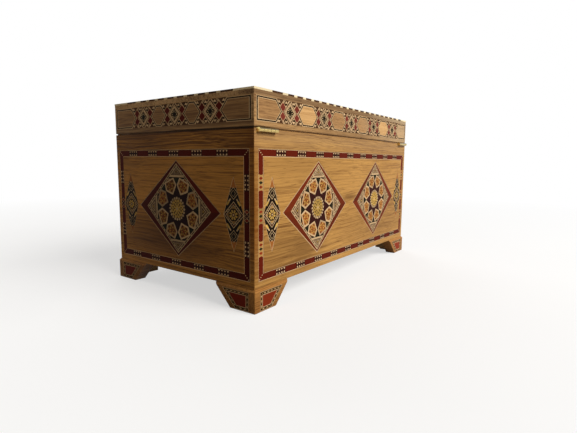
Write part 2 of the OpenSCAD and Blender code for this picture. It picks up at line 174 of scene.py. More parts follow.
WHITE = (1.0, 1.0, 1.0)
ROOM_LIGHT = 0.12      # the room's strength as a lamp; to the eye it is 1
world = bpy.data.worlds.new("room")
bpy.context.scene.world = world
world.use_nodes = True
sky = Finish("sky", world.node_tree)
room = world.node_tree.nodes["Background"].inputs
sky.plug(room["Color"], sky.mix(seen(sky), (1.0, 0.90, 0.76), WHITE))
sky.plug(room["Strength"], seen(sky) * (1.0 - ROOM_LIGHT) + ROOM_LIGHT)


def lamp(name, kind, energy, size, coming_from, tint=WHITE, at=(0, 0, 0)):
    """A sun whose size is in degrees, or a square panel whose size is in metres."""
    data = bpy.data.lights.new(name, kind)
    data.energy = energy
    data.color = tint
    if kind == "SUN":
        data.angle = math.radians(size)
    else:
        data.size = size
    aim = Vector(coming_from).to_track_quat("Z", "Y").to_matrix().to_4x4()
    placed(name, data).matrix_world = Matrix.Translation(at) @ aim


lamp("window", "SUN", 2.2, 40, (-0.05, 0.78, 0.62), (1.0, 0.97, 0.92))
lamp("fill", "SUN", 0.8, 40, (-0.5, -0.7, 0.6), (0.95, 0.97, 1.0))
lamp("panel", "AREA", 6.0, 0.8, (-0.25, 0.9, 0.7), at=(-0.25, 0.9, 0.75))

FLOOR_REACH = 9
PLAIN_NEAR = 0.58      # how far the floor by the box is plain white; the rest is lit
floor_mesh = bpy.data.meshes.new("floor")
floor_mesh.from_pydata([(x * FLOOR_REACH, y * FLOOR_REACH, 0)
                        for x, y in ((-1, -1), (1, -1), (1, 1), (-1, 1))], [], [(0, 1, 2, 3)])
floor = placed("floor", floor_mesh)
paper = Finish("paper_floor")
dust = paper.noise(paper.place(), (9.0, 9.0, 9.0), 3.0)
pale_paper = paper.mix(dust, (0.93, 0.93, 0.93), (0.97, 0.97, 0.965))
floor_mesh.materials.append(paper.shade(
    Base_Color=paper.mix(seen(paper), (0.27, 0.24, 0.20), pale_paper),
    Roughness=dust * 0.1 + 0.6, Specular_IOR_Level=0.0))
away = paper.vector("LENGTH", paper.place(), out="Value").above(0.25, 0.6)
glow = paper.add("ShaderNodeEmission", {}, {"Color": WHITE})
lit = Value(paper, paper.tree.nodes["Principled BSDF"].outputs[0])
surface = paper.add("ShaderNodeMixShader", {}, {
    0: seen(paper) * (away * (1.0 - PLAIN_NEAR) + PLAIN_NEAR), 1: lit, 2: glow})
paper.plug(paper.tree.nodes["Material Output"].inputs["Surface"], surface)


# ---- Walls. Each board is veneered in walnut with the grain along it, rubbed down and
# lacquered; the outer arrises are eased by hand after glue-up.
MM = 0.001


def walnut(name, along, seed, pale, dark, vein=0.28, figure_and_painted_light=()):
    """along is x or y, the grain's way; seed moves the figure so no two boards match.
    The last argument holds patches of figure and of painted shade and highlight: middle,
    half sizes (both in mm), strength, and a colour where they aren't simply darker."""
    w = Finish(name)

    def figure(length, width, detail=2.0, rough=0.5, out="Fac"):
        """Noise that is so long and wide with the grain, in metres."""
        factors = tuple(1 / length if axis == along else 1 / width for axis in "xyz")
        return w.noise(place, factors, detail, rough, out)

    place = w.vector("ADD", w.place(), seed)
    drift = w.vector("ADD", figure(0.09, 0.03, out="Color"), (-0.5, -0.5, -0.5))
    drift = w.vector("MULTIPLY", drift, (0.007, 0.007, 0.007))
    place = w.vector("ADD", place, drift)
    broad = figure(0.5, 0.035)
    streak = figure(0.35, 0.0014, 3.0, 0.6)
    fibre = figure(0.05, 0.0005)
    pores = figure(0.011, 0.00035, 1.0).above(0.63, 0.06)
    tone = broad * 1.2 + streak * 1.05 + fibre * 1.1 - 1.15
    mid = [a * 0.55 + b * 0.45 for a, b in zip(pale, dark)]
    stops = [(0.18, dark), (0.42, mid), (0.66, pale), (0.9, [c * 1.12 for c in pale])]
    colour = w.add("ShaderNodeValToRGB", {"stops": stops}, {"Fac": tone})
    shade = [c * 0.4 for c in dark]
    colour = w.mix(figure(0.3, 0.006).above(0.62, 0.1) * vein, colour, shade)
    for middle, reach, strength, *tint in figure_and_painted_light:
        there = w.vector("ADD", w.place(), [-c * MM for c in middle])
        there = w.vector("MULTIPLY", there, [1 / (r * MM) for r in reach])
        near = (w.vector("LENGTH", there, out="Value") + streak * 0.9).above(1.55, -0.9)
        colour = w.mix(near * strength, colour, tint[0] if tint else [c * 0.6 for c in dark])
    colour = w.mix(pores * 0.45, colour, shade)
    smear = w.noise(place, (40.0, 40.0, 40.0))
    return w.shade(Base_Color=colour, Roughness=smear * 0.12 + pores * 0.2 + 0.3,
                   Specular_IOR_Level=0.03, Coat_Weight=0.02, Coat_Roughness=0.1,
                   Normal=w.bump(fibre * 0.4 - pores, 0.00006, 0.6))


def carved(node, *cuts):
    """A copy of the node's mesh after each (bmesh, operation), which are used up."""
    rough = placed("rough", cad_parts[node].data.copy())
    cutters = []
    for block, operation in cuts:
        cutter_mesh = bpy.data.meshes.new("cutter")
        block.to_mesh(cutter_mesh)
        block.free()
        cutters.append(placed("cutter", cutter_mesh))
        cut = rough.modifiers.new("cut", "BOOLEAN")
        cut.operation = operation
        cut.solver = "EXACT"
        cut.object = cutters[-1]
    made = bpy.data.meshes.new_from_object(rough.evaluated_get(
        bpy.context.evaluated_depsgraph_get()))
    for thing in (rough, *cutters):
        bpy.data.objects.remove(thing)
    return made


def dressed(mesh, name, node, body):
    """An object of that mesh, which rides on the body in the place of the node."""
    piece = placed(name, mesh)
    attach(piece, body)
    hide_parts(node)
    return piece


def fitted(mesh, name, node, body, finish):
    """Puts the mesh, all in one finish, in the place of the node."""
    mesh.materials.clear()
    mesh.materials.append(finish)
    mesh.polygons.foreach_set("material_index", [0] * len(mesh.polygons))
    dressed(mesh, name, node, body)


ARRIS = 0.00045                            # radius of an eased arris
SEAM_RIM = 0.0012                          # width of the rim that is cut back at the seam
SEAM_STEP = 0.00001                        # width of the step inside it
SEAM_UNDER, SEAM_OVER = 0.0003, 0.0005     # how far case and lid are cut back there


def eased(node, body, low, high, finish, radius=ARRIS, groove=0.0, pockets=None):
    """The board of that node, with the arrises of the whole case low..high rounded;
    groove cuts the outer edge back above high (or, below zero, under low), and
    pockets is a bmesh of further hollows."""
    block = bmesh.new()
    bmesh.ops.create_cube(block, size=1.0)
    for vert in block.verts:
        vert.co = Vector(h if c > 0 else l for c, l, h in zip(vert.co, low, high))
    bmesh.ops.bevel(block, geom=list(block.edges), offset=radius, segments=3, profile=0.5,
                    affect="EDGES")
    if groove:
        flat = max(block.faces, key=lambda f: f.normal.z * groove * f.calc_area())
        for thickness, depth in ((SEAM_RIM - radius, 0.0), (SEAM_STEP, abs(groove))):
            bmesh.ops.inset_individual(block, faces=[flat], thickness=thickness, depth=depth)
    cuts = [(block, "INTERSECT")] + ([(pockets, "DIFFERENCE")] if pockets else [])
    fitted(carved(node, *cuts), node + "_board", node, body, finish)


# of each side: its lower middle, and its ways to the right and out, seen from outside
SIDES = {
    "front": ((0, -case_half.y, case_low), (1, 0, 0), (0, -1, 0)),
    "back": ((0, case_half.y, case_low), (-1, 0, 0), (0, 1, 0)),
    "right": ((case_half.x, 0, case_low), (0, 1, 0), (1, 0, 0)),
    "left": ((-case_half.x, 0, case_low), (0, -1, 0), (-1, 0, 0)),
}
LONG_SIDES = ("front", "back")


def span(points, i):
    """Lowest and highest of that number of each point."""
    return min(p[i] for p in points), max(p[i] for p in points)


def extents(node, side):
    """Span across and span up of each solid of a node, in mm on that side's face."""
    origin, along, out = [Vector(v) for v in SIDES[side]]
    spots = [((v.co - origin).dot(along) / MM, (v.co.z - case_low) / MM)
             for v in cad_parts[node].data.vertices]
    lone = len({x > 0 for x, _ in spots}) < 2 or node.endswith("_lozenge")
    groups = [spots] if lone else [[p for p in spots if (p[0] > 0) == up] for up in (True, False)]
    return [(span(group, 0), span(group, 1)) for group in groups]


def plaques(node, side, swell=(0.0, 0.0)):
    """Middle and half sizes of each solid of a node, swollen by so much, in mm."""
    return [((x0 + x1) / 2, (y0 + y1) / 2, (x1 - x0) / 2 + swell[0], (y1 - y0) / 2 + swell[1])
            for (x0, x1), (y0, y1) in extents(node, side)]


def edges(outline):
    return list(zip(outline, outline[1:] + outline[:1]))


def rhomb(half_x, half_y, x=0.0, y=0.0):
    return [(x + half_x, y), (x, y + half_y), (x - half_x, y), (x, y - half_y)]


SLIM_SWELL = (0.9, 0.5)     # how far the slim lozenges reach past their solids, in mm
POCKET_DEPTH = 1.18         # of the wider pockets that they need, in mm


def slim_pockets(side):
    origin, along, out = [Vector(v) for v in SIDES[side]]
    pockets = bmesh.new()
    for x, z, half_x, half_z in plaques(side + "_slim_lozenges", side, SLIM_SWELL):
        rings = [[pockets.verts.new(origin + (along * px + out * depth) * MM
                                    + Vector((0, 0, pz * MM)))
                  for px, pz in rhomb(half_x, half_z, x, z)] for depth in (-POCKET_DEPTH, 1.0)]
        for ring in rings:
            pockets.faces.new(ring)
        for (a, b), (c, d) in zip(*map(edges, rings)):
            pockets.faces.new([a, b, d, c])
    bmesh.ops.recalc_face_normals(pockets, faces=pockets.faces)
    return pockets


HONEY, BARK = (0.53, 0.28, 0.078), (0.20, 0.08, 0.02)
# the end walls' veneer is drawn darker and redder than the long walls'
CHESTNUT, CHESTNUT_BARK = (0.49, 0.22, 0.047), (0.115, 0.043, 0.010)
# near-black of the painted shadow in the seam, above the hinge and along the right end
GAP_SHADOW = (0.02, 0.009, 0.003)
SEAM_SHADE = {    # painted shade along the outer edge of the seam, where the gap between lid and case lies dark
    "front": (((0, -71, 113.1), (900, 2.2, 1.1), 0.6),),
    "back": (((0, 71, 113.1), (900, 2.2, 1.0), 0.45),
             ((112, 71, 113.4), (15, 2.5, 1.2), 1.0, GAP_SHADOW)),
    "right": (((120, 0, 113.1), (2.2, 900, 1.1), 1.0),
              ((120, 55, 113.3), (2.5, 75, 0.9), 1.0, GAP_SHADOW)),
    "left": (((-120, 0, 113.1), (2.2, 900, 1.1), 1.0),),
}
# patches of figure in each wall's veneer, and of painted light where marked
WALL_FIGURE_AND_PAINTED_LIGHT = {
    "front": (((-60, -71, 96), (70, 40, 7), 0.25),),
    "back": (((1, 71, 65), (16, 40, 4), 0.6),
             # painted shade: the back grows darker towards its bottom
             ((68, 71, 33), (38, 40, 26), 0.62),
             ((110, 71, 30), (30, 40, 24), 0.4),
             ((-60, 71, 32), (90, 40, 24), 0.38),
             ((75, 71, 90), (75, 40, 16), 0.3),
             ((120, 71, 62), (8, 40, 52), 0.85, (0.20, 0.065, 0.008)),
             # painted highlight along the top of the back, under the seam
             ((0, 71, 109), (900, 40, 10), 0.22, (0.62, 0.43, 0.23))),
    # painted shade over the lower part of the right end
    "right": (((120, -8, 38), (40, 80, 24), 0.85, (0.07, 0.022, 0.004)),
              ((120, -30, 100), (40, 40, 10), 0.3),
              # painted shade down the strip by the back corner
              ((120, 71, 75), (40, 8, 62), 0.8, (0.16, 0.05, 0.008))),
    "left": (((-120, 20, 40), (40, 60, 18), 0.25),),
}
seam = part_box("right_wall")[1].z
body_low = -case_half + Vector((0, 0, case_low))
body_high = case_half + Vector((0, 0, seam - SEAM_UNDER))
for number, side in enumerate(SIDES):
    cut_of = (HONEY, BARK) if side in LONG_SIDES else (CHESTNUT, CHESTNUT_BARK)
    sawn = walnut(side + "_walnut", "x" if side in LONG_SIDES else "y",
                  (0.31 * number, 0.73 * number, 0.11 * number), *cut_of,
                  figure_and_painted_light=(*WALL_FIGURE_AND_PAINTED_LIGHT[side], *SEAM_SHADE[side]))
    eased(side + "_wall", "box", body_low, body_high, sawn, groove=SEAM_UNDER,
          pockets=slim_pockets(side))


# ---- Lid boards. Rails like the walls, mitred round, with the lid board glued on
# top; their veneer is a little greyer than the case below.
LID_PALE, LID_END, LID_DARK = (0.47, 0.27, 0.11), (0.56, 0.33, 0.145), (0.18, 0.09, 0.038)
# a paler colour painted over the far end of the back: its rails, lid board and cartouches
FAR_END_PALE = (0.85, 0.68, 0.42)
RAIL_FIGURE_AND_PAINTED_LIGHT = {
    # the far end of the back rail is painted paler
    "back": (((-125, 71, 116), (100, 40, 12), 0.24, FAR_END_PALE), ((10, 71, 116), (85, 40, 9), 0.25)),
    "right": (((120, 0, 116.5), (40, 900, 4.5), 0.5),),
}
lid_low = -case_half + Vector((0, 0, seam + SEAM_OVER))
lid_high = case_half + Vector((0, 0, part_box("lid_board")[1].z + 0.01))
for number, side in enumerate(SIDES):
    sawn = walnut(f"lid_{side}_walnut", "x" if side in LONG_SIDES else "y",
                  (0.5 * number + 2, 0.21 * number, 0.37 * number),
                  LID_PALE if side in LONG_SIDES else LID_END, LID_DARK,
                  figure_and_painted_light=(*RAIL_FIGURE_AND_PAINTED_LIGHT.get(side, ()), *SEAM_SHADE[side]))
    eased(f"lid_{side}_rail", "lid", lid_low, lid_high, sawn, groove=-SEAM_OVER)
board_walnut = walnut("lid_board_walnut", "x", (1.7, 0.4, 0.9), (0.62, 0.38, 0.18), LID_DARK,
                      figure_and_painted_light=(((0, 71, 134), (900, 14, 6), 0.7),
                              # the far end of the board's back edge is painted paler
                              ((-125, 71, 134), (95, 20, 8), 0.35, FAR_END_PALE)))
eased("lid_board", "lid", lid_low, lid_high, board_walnut)


# ---- Large lozenges. A bone line, a wedge-shaped maroon band and a second bone line
# round an eight-pointed star: dark points between eight petals, and a rosette. All
# is marquetry, cut from thin rods of dyed and natural woods and bone, and lacquered.
def inlay_wood(name, colour, spread):
    """spread is how far the tiles of that wood differ."""
    fleck = 0.25
    w = Finish(name)
    tone = w.add("ShaderNodeAttribute", {"attribute_name": "tone"}, {}, "Fac")
    grain = w.noise(w.place(), (900.0, 900.0, 2500.0), 3.0)
    value = tone * spread + grain * fleck + (1.0 - 0.5 * spread - 0.5 * fleck)
    hue = w.add("ShaderNodeHueSaturation", {}, {"Color": colour, "Value": value})
    return w.shade(Base_Color=hue, Roughness=grain * 0.15 + 0.28,
                   Specular_IOR_Level=0.012, Coat_Weight=0.02, Coat_Roughness=0.1)


WOODS = {name: inlay_wood("inlay_" + name, colour, spread) for name, colour, spread in (
    ("bone", (0.69, 0.475, 0.26), 0.35),
    ("ivory", (0.88, 0.74, 0.47), 0.2),
    ("maroon", (0.135, 0.013, 0.004), 0.4),
    ("russet", (0.18, 0.027, 0.007), 0.4),
    ("rose", (0.175, 0.032, 0.020), 0.4),
    ("wine", (0.10, 0.009, 0.003), 0.4),
    ("claret", (0.068, 0.006, 0.002), 0.4),
    ("red", (0.25, 0.032, 0.009), 0.4),
    ("black", (0.016, 0.008, 0.003), 0.5),
    ("green", (0.024, 0.024, 0.009), 0.5),
    ("gold", (0.66, 0.40, 0.10), 0.4),
    ("tan", (0.42, 0.235, 0.075), 0.4),
    ("amber", (0.42, 0.15, 0.035), 0.4),
    ("brown", (0.085, 0.038, 0.016), 0.5),
    ("plum", (0.045, 0.009, 0.006), 0.5),
)}
# all in mm, like every drawing of a mosaic
STEP = 0.015     # each layer of tiles stands this much over the last
SUNK = 0.16      # the first layer lies this far under the wood round it
TILE = 0.4       # thickness of a tile
BACKING = 1.0    # thickness of the sheet behind the tiles


class Mosaic:
    """Tiles let into one face; points are (across, up) in mm from the face's origin.
    The last argument darkens the woods of that face, in steps of tone; on the end walls most of it
    is painted shade."""

    def __init__(self, name, origin, along, up, out, darkening=0.0):
        self.name = name
        self.darkening = darkening
        self.origin = Vector(origin)
        self.axes = [Vector(axis) for axis in (along, up, out)]
        self.points, self.faces, self.woods, self.tones = [], [], [], []
        self.random = random.Random(name)

    def tile(self, outline, wood, layer, thick=TILE):
        if area(outline) < 0:
            outline = outline[::-1]
        top = layer * STEP - SUNK
        for depth in (top - thick, top):
            for x, y in outline:
                place = zip(self.axes, (x * MM, y * MM, depth * MM))
                self.points.append(self.origin + sum((a * d for a, d in place), Vector()))
        self.close(len(outline), wood)

    def close(self, count, wood):
        """Faces of the prism whose two ends, of count points each, came last."""
        low = len(self.points) - 2 * count
        high = low + count
        self.faces.append([high + i for i in range(count)])
        self.faces.append([low + i for i in reversed(range(count))])
        for i in range(count):
            j = (i + 1) % count
            self.faces.append([low + i, low + j, high + j, high + i])
        self.woods += [wood] * (count + 2)
        self.tones += [self.random.random() - self.darkening] * (count + 2)

    def ring(self, outer, inner, wood, layer, thick=TILE):
        """A closed band between two outlines with the same number of corners."""
        for (a, b), (d, c) in zip(edges(outer), edges(inner)):
            self.tile([a, b, c, d], wood, layer, thick)

    def at(self, x, y, wide=1.0, tall=1.0, limits=None):
        """Lays tiles that are drawn round a middle: cut off at the limits, stretched,
        and moved to x, y."""
        def put(outline, wood, layer, thick=TILE):
            part = clipped(outline, limits) if limits else outline
            if len(part) > 2:
                self.tile(moved(part, x, y, wide, tall), wood, layer, thick)

        return put

    def piece(self, node, body, slot):
        mesh = bpy.data.meshes.new(self.name)
        mesh.from_pydata(self.points, [], self.faces)
        used = sorted(set(self.woods))
        for wood in used:
            mesh.materials.append(WOODS[wood])
        mesh.polygons.foreach_set("material_index", [used.index(w) for w in self.woods])
        mesh.attributes.new("tone", "FLOAT", "FACE").data.foreach_set("value", self.tones)
        if self.axes[0].cross(self.axes[1]).dot(self.axes[2]) < 0:
            mesh.flip_normals()
        dressed(mesh, self.name, node, body)


def area(outline):
    return sum(a[0] * b[1] - a[1] * b[0] for a, b in edges(outline)) / 2


def moved(outline, x, y, wide=1.0, tall=1.0):
    return [(x + px * wide, y + py * tall) for px, py in outline]


def between(a, b, share):
    return (a[0] + (b[0] - a[0]) * share, a[1] + (b[1] - a[1]) * share)


def oblong(half_x, half_y, x=0.0, y=0.0):
    return [(x - half_x, y - half_y), (x + half_x, y - half_y),
            (x + half_x, y + half_y), (x - half_x, y + half_y)]


def round_form(count, radius, x=0.0, y=0.0, turn=0.0):
    steps = [math.tau * i / count + turn for i in range(count)]
    return [(x + radius * math.cos(a), y + radius * math.sin(a)) for a in steps]


def polar(radius, degrees):
    return (radius * math.cos(math.radians(degrees)), radius * math.sin(math.radians(degrees)))


def sliver(tip, base, degrees, spread):
    """A thin triangle on a ray from the middle; tip and base are its radii."""
    return [polar(tip, degrees), polar(base, degrees - spread), polar(base, degrees + spread)]


def clipped(outline, convex):
    """The part of outline inside a convex outline that runs anticlockwise."""
    for a, b in edges(convex):
        kept = []
        side = [(b[0] - a[0]) * (p[1] - a[1]) - (b[1] - a[1]) * (p[0] - a[0]) for p in outline]
        for i, p in enumerate(outline):
            before, here = side[i - 1], side[i]
            if (here >= 0) != (before >= 0):
                kept.append(between(outline[i - 1], p, before / (before - here)))
            if here >= 0:
                kept.append(p)
        outline = kept
        if len(outline) < 3:
            return []
    return outline


SMALLEST = 0.02     # area of the smallest piece of a rod that is laid


def rods(mosaic, convex, cell, palette, layer):
    """Fills a convex outline with the small triangles that cut rods leave."""
    (low_x, high_x), (low_y, high_y) = span(convex, 0), span(convex, 1)
    rise = cell * math.sqrt(3) / 2
    for row in range(int((high_y - low_y) / rise) + 2):
        y = low_y + row * rise
        for col in range(-1, int((high_x - low_x) / cell) + 3):
            x = low_x + (col - 0.5 * (row % 2)) * cell
            up = [(x, y), (x + cell, y), (x + cell / 2, y + rise)]
            down = [(x + cell, y), (x + 1.5 * cell, y + rise), (x + cell / 2, y + rise)]
            for k, tri in enumerate((up, down)):
                part = clipped(tri, convex)
                if len(part) > 2 and abs(area(part)) > SMALLEST:
                    mosaic.tile(part, palette[(col * 2 + k + row) % len(palette)], layer)


def on_side(side, name, darkening=0.0):
    origin, along, out = SIDES[side]
    return Mosaic(name, origin, along, (0, 0, 1), out, darkening)


STAR_HALF = 34.0                  # half the height at which the star is drawn
CORE_X, CORE_Y = 31.2, 29.1       # half sizes of the rhomb inside the dashes
DASHES = 9                        # on each edge of it


def star_lozenge(mosaic, x, y, half_x, half_y, wedge="russet"):
    s = half_y / STAR_HALF
    put = mosaic.at(x, y, s, s)
    mosaic.tile(rhomb(half_x, half_y, x, y), "bone", 0, BACKING)
    mosaic.ring(rhomb(half_x - 1.0, half_y - 0.85, x, y), rhomb(33.9 * s, 31.7 * s, x, y),
                wedge, 1)
    for (a, b), (d, c) in zip(edges(rhomb(33.0, 30.8)), edges(rhomb(32.0, 29.9))):
        for k in range(DASHES):
            t, u = k / DASHES, (k + 0.78) / DASHES
            put([between(a, b, t), between(a, b, u), between(d, c, u), between(d, c, t)],
                "black", 1)
    octagon = clipped(rhomb(CORE_X * s, CORE_Y * s), oblong(22.2 * s, 22.2 * s))
    rods(mosaic, moved(octagon, x, y), 1.9 * s, ["bone", "brown", "amber", "brown"], 1)
    # the points of the star, and the dark ground under the petals
    for k in range(8):
        put(sliver(16.0, 21.6, 45 * k, 11), "black", 2)
        put(sliver(18.6, 21.3, 45 * k, 6), "green", 3)
    put([polar(16.6 if k % 2 == 0 else 10.3, 22.5 * k) for k in range(16)], "plum", 3)
    # petals, each a bone edge round amber wood with rods in it
    for k in range(8):
        mid = 22.5 + 45 * k
        petal = [polar(10.4, mid), polar(16.6, mid + 21.5), polar(22.0, mid + 14.0),
                 polar(22.0, mid - 14.0), polar(16.6, mid - 21.5)]
        put(petal, "bone", 4)
        centre = [sum(p[i] for p in petal) / 5 for i in (0, 1)]
        heart = [between(centre, p, 0.77) for p in petal]
        put(heart, "amber", 5)
        for p, q in edges(heart):
            m = between(p, q, 0.5)
            for at, share, size, wood in ((m, 0.78, 0.75, "gold"), (p, 0.74, 0.8, "brown"),
                                          (p, 0.38, 0.65, "gold"), (m, 0.42, 0.5, "brown")):
                put(round_form(4, size, *between(centre, at, share)), wood, 6)
        put(round_form(5, 0.7, *centre), "red", 6)
    # rosette
    put(round_form(24, 7.9), "brown", 4)
    for k in range(20):
        put(round_form(6, 0.95, *polar(7.5, 18 * k)), "bone", 5)
    put(round_form(20, 6.6, turn=0.157), "gold", 6)
    for k in range(12):
        put(sliver(5.0, 6.5, 30 * k, 6), "brown", 7)
        put(round_form(4, 0.75, *polar(4.4, 30 * k + 15)), "green", 7)
    for k in range(8):
        put(sliver(1.4, 3.7, 45 * k, 9), "brown", 7)
    put(round_form(8, 0.95), "bone", 7)
    # closing bars of the octagon, and the nested rods in the four tips
    for sign in (1, -1):
        for tip, half, lying in ((CORE_Y, CORE_X, True), (CORE_X, CORE_Y, False)):
            def laid(outline, wood, layer):
                put([(px, sign * py) if lying else (sign * py, px) for px, py in outline],
                    wood, layer)

            for low, high, wood in ((20.8, 22.0, "black"), (23.4, tip, "brown"),
                                    (22.0, 23.4, "bone")):
                low_wide, high_wide = [half * (1 - h / tip) for h in (low, high)]
                laid([(-low_wide, low), (low_wide, low), (high_wide, high), (-high_wide, high)],
                     wood, 2)
            base = 23.9
            wide = half * (1 - base / tip)
            middle = base + (tip - base) * 0.36
            for k, (scale, wood) in enumerate(((0.96, "bone"), (0.80, "brown"), (0.56, "bone"),
                                               (0.40, "brown"), (0.16, "gold"))):
                laid([between((0, middle), p, scale)
                      for p in ((-wide, base), (wide, base), (0, tip))], wood, 3 + k)


for side, node in (("front", "front_lozenges"), ("back", "back_lozenges"),
                   ("right", "right_lozenge"), ("left", "left_lozenge")):
    # the end walls' woods are darkened further: painted shade
    darkening, wedge = (0.35, "russet") if side in LONG_SIDES else (1.1, "maroon")
    mosaic = on_side(side, node + "_mosaic", darkening)
    for plaque in plaques(node, side):
        star_lozenge(mosaic, *plaque, wedge)
    mosaic.piece(node, "box", "red_inlay")


# ---- Slim lozenges. Narrow plaques near the corners: spikes of amber wood, two
# black gems, black and gold stripes, and a bone-edged heart with a round flower.
SLIM_X, SLIM_Y = 8.0, 23.6     # half sizes of the drawing, which is stretched to fit
CORNERS = ((1, 1), (1, -1), (-1, 1), (-1, -1))


def slim_lozenge(mosaic, x, y, half_x, half_y):
    stretch = (x, y, half_x / SLIM_X, half_y / SLIM_Y)
    inner = rhomb(SLIM_X - 0.35, SLIM_Y - 1.05)
    put = mosaic.at(*stretch)
    cut = mosaic.at(*stretch, limits=inner)
    put(rhomb(SLIM_X, SLIM_Y), "bone", 0.5, BACKING)
    put(inner, "amber", 1)
    cut(oblong(SLIM_X, 16.6), "black", 2)
    # slanting slips of yellow and bone in the black ground, two above and two below
    foot, along, out = Vector((5.2, 5.9)), Vector((-0.60, 0.80)), Vector((0.80, 0.60))
    for sx, sy in CORNERS:
        for start, end, wide, wood in ((0.0, 3.0, 0.68, "gold"), (3.0, 4.9, 0.5, "bone")):
            slip = [foot + along * run + out * across for run, across in
                    ((start, -wide), (start, wide), (end, wide), (end, -wide))]
            cut([(sx * p.x, sy * p.y) for p in slip], wood, 3)
    for sy in (1, -1):
        for k, (rx, ry, wood) in enumerate(((3.7, 3.9, "bone"), (3.2, 3.4, "black"),
                                            (2.3, 2.5, "green"), (1.9, 2.1, "bone"),
                                            (1.6, 1.8, "black"))):
            cut(rhomb(rx, ry, 0, sy * 13.2), wood, 4 + k)
    heart_x, heart_y = SLIM_X - 0.25, 8.3
    for k, (inset, wood) in enumerate(((0.0, "bone"), (0.4, "black"), (1.35, "bone"),
                                       (1.65, "brown"), (1.9, "tan"))):
        put(rhomb(heart_x - inset * 1.4, heart_y - inset * 1.45), wood, 5 + k)
    for a, b in edges(rhomb(heart_x - 1.18, heart_y - 1.22)):
        for k in range(6):
            put(round_form(4, 0.31, *between(a, b, (k + 0.5) / 6)), "bone" if k % 5 else "red", 10)
    put(round_form(20, 3.9), "black", 11)
    put(round_form(16, 3.2), "gold", 12)
    for k in range(8):
        put(sliver(1.2, 3.25, 45 * k, 9), "black", 13)
    put(round_form(8, 1.3), "brown", 13)
    put(round_form(4, 0.7), "bone", 14)


for side in SIDES:
    node = side + "_slim_lozenges"
    # on the end walls the woods are darkened: painted shade
    mosaic = on_side(side, node + "_mosaic", 0.0 if side in LONG_SIDES else 0.6)
    for plaque in plaques(node, side, SLIM_SWELL):
        slim_lozenge(mosaic, *plaque)
    mosaic.piece(node, "box", "pale_inlay")


# ---- Frame inlays. Strips mitred round each wall: maroon bars between bone lines,
# broken by short blocks of bone, red and black rods.
LINE = 0.4                        # width of the bone lines
FRAME_WIDE = 5.0
FRAME_HALF = FRAME_WIDE / 2 - LINE
PITCH, RISE_PITCH = 23.4, 20.4    # from block to block, along a wall and up its ends
FRAME_SHIFT = {"right": -2.4, "left": 2.4}
BLOCK = 10.8                      # length of a block of rods
CELLS = 4                         # in a dotted block
GEM_PITCH = 2.65


def upright(put):
    """Lays across and along what is drawn along and across."""
    return lambda outline, wood, layer: put([(v, u) for u, v in outline], wood, layer)


def dotted(put):
    """One block of rods: bone dots and black rhombs on plum."""
    put(oblong(BLOCK / 2, FRAME_HALF), "plum", 2)
    for k in range(CELLS):
        for s in (1, -1):
            put(round_form(8, 0.62, (k + 0.5 - CELLS / 2) * BLOCK / CELLS, s * 1.2), "bone", 3)
    for k in range(1, CELLS):
        a = (k - CELLS / 2) * BLOCK / CELLS
        put(rhomb(0.8, 0.75, a, 0), "black", 3)
        for s in (1, -1):
            put(round_form(4, 0.3, a, s * (FRAME_HALF - 0.35)), "bone", 3)


def beads(put, ground, edge, gems, bar):
    """A block of three long gems; the bars on both sides of it have rounded ends."""
    half = FRAME_HALF
    put(oblong(BLOCK / 2, half), ground, 2)
    for k, gem in zip((-1, 0, 1), gems):
        put(rhomb(1.3, half, k * GEM_PITCH, 0), edge, 3)
        put(rhomb(1.08, half - 0.3, k * GEM_PITCH, 0), gem, 4)
    rounding = ((0, 0), (0.35, 0.4), (0.7, 1.1))
    for s in (1, -1):
        far = s * BLOCK / 2
        put([(far - s * u, v - half) for u, v in rounding]
            + [(far - s * u, half - v) for u, v in rounding[::-1]], bar, 3)


for side in SIDES:
    node = side + "_frame_inlay"
    mosaic = on_side(side, node + "_mosaic")
    (x0, x1), (y0, y1) = extents(node, side)[0]
    reach, middle, rise = max(-x0, x1), (y0 + y1) / 2, (y1 - y0) / 2

    def frame_line(inset):
        return oblong(reach - inset, rise - inset, 0, middle)

    mosaic.ring(frame_line(0), frame_line(FRAME_WIDE), "bone", 0, BACKING)
    mosaic.ring(frame_line(LINE), frame_line(FRAME_WIDE - LINE),
                "maroon" if side in LONG_SIDES else "claret", 1)
    mid_x, mid_y = reach - FRAME_WIDE / 2, rise - FRAME_WIDE / 2
    for k in range(-6, 7):
        x = FRAME_SHIFT.get(side, 0.0) + k * PITCH
        if abs(x) < reach - FRAME_WIDE - BLOCK / 2 - 3:
            for s in (-1, 1):
                dotted(mosaic.at(x, middle + s * mid_y))
    for k in (-1, 0, 1):
        for s in (-1, 1):
            put = upright(mosaic.at(s * mid_x, middle + k * RISE_PITCH))
            if side in LONG_SIDES:
                beads(put, "tan", "tan", ("red", "green", "red"), "maroon")
            elif k == 0:
                beads(put, "plum", "bone", ("maroon", "plum", "maroon"), "claret")
            else:
                dotted(put)
    for sx, sy in reversed(CORNERS):
        for t in (-1.2, 0.0, 1.2):
            mosaic.tile(rhomb(0.45, 0.45, sx * (mid_x - t), middle + sy * (mid_y - t)), "bone", 2)
    mosaic.piece(node, "box", "dark_inlay")


# ---- Mosaic bands round the lid. Plain cartouches with pointed ends alternate with
# cells of red rhombs and a round flower, all inside bone and black stringing.
CELL_HALF = 14.9      # half the width of a cell at its top
CELL_WAIST = 8.35     # and at its waist, between the points of the cartouches
CELL_SLOPE = 0.85     # lean of the cartouches' points
LINE_SLOPE = 0.93     # and of the lines across a cell
# number of cells, pitch, wood of the rhombs, and wood of the cartouches
LONG_BAND = (5, 42.2, "rose", "panel")
END_BAND = (3, 34.7, "wine", "panel_end")


